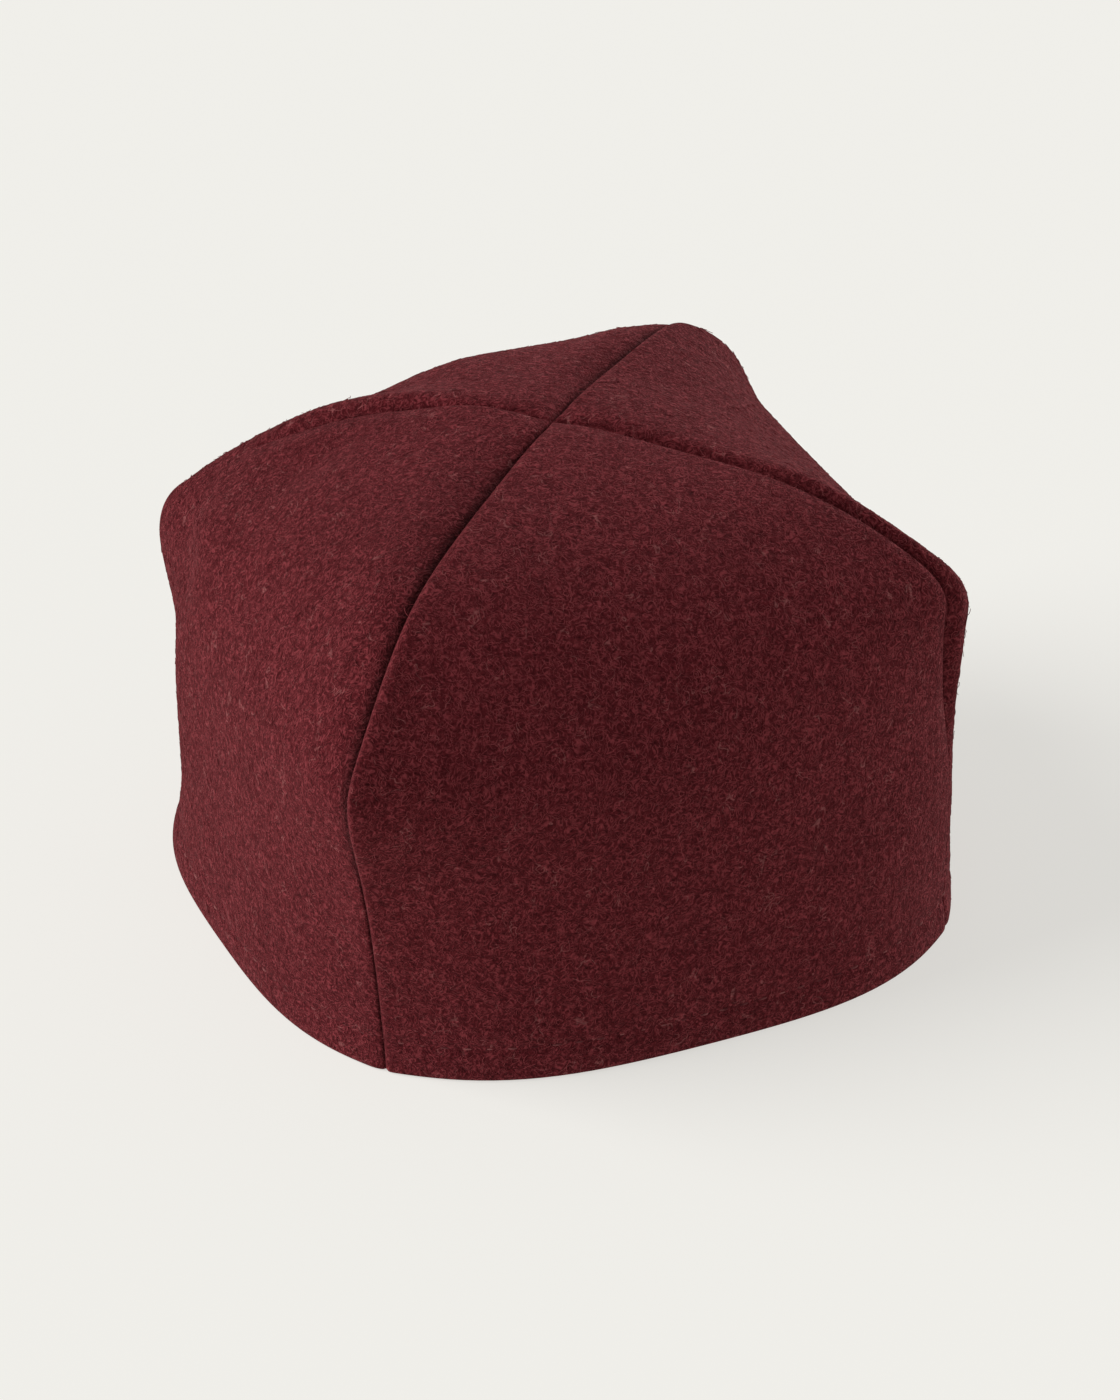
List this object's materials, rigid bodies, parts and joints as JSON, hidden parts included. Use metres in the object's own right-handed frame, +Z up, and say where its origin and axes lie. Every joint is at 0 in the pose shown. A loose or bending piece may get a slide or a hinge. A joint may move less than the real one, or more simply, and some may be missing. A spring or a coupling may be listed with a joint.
{
  "type": "felt cap",
  "caption": "Soft four-cornered cap sewn from felt panels that meet at the crown, with rolled seams, a turned-up hem and an open head hollow.",
  "frame": {"origin": "middle of the resting surface, under the centre of the cap's bounds", "axes": "+Z up from the hem to the crown, -Y out of the front panel, +X out of the right panel"},
  "size_m": [0.1786, 0.178, 0.1254],
  "materials": {
    "felt": "matt burgundy wool felt with short curly surface fibres"
  },
  "bodies": {
    "root": {"panel_front": "felt", "panel_right": "felt", "panel_back": "felt", "panel_left": "felt"}
  },
  "joints": []
}
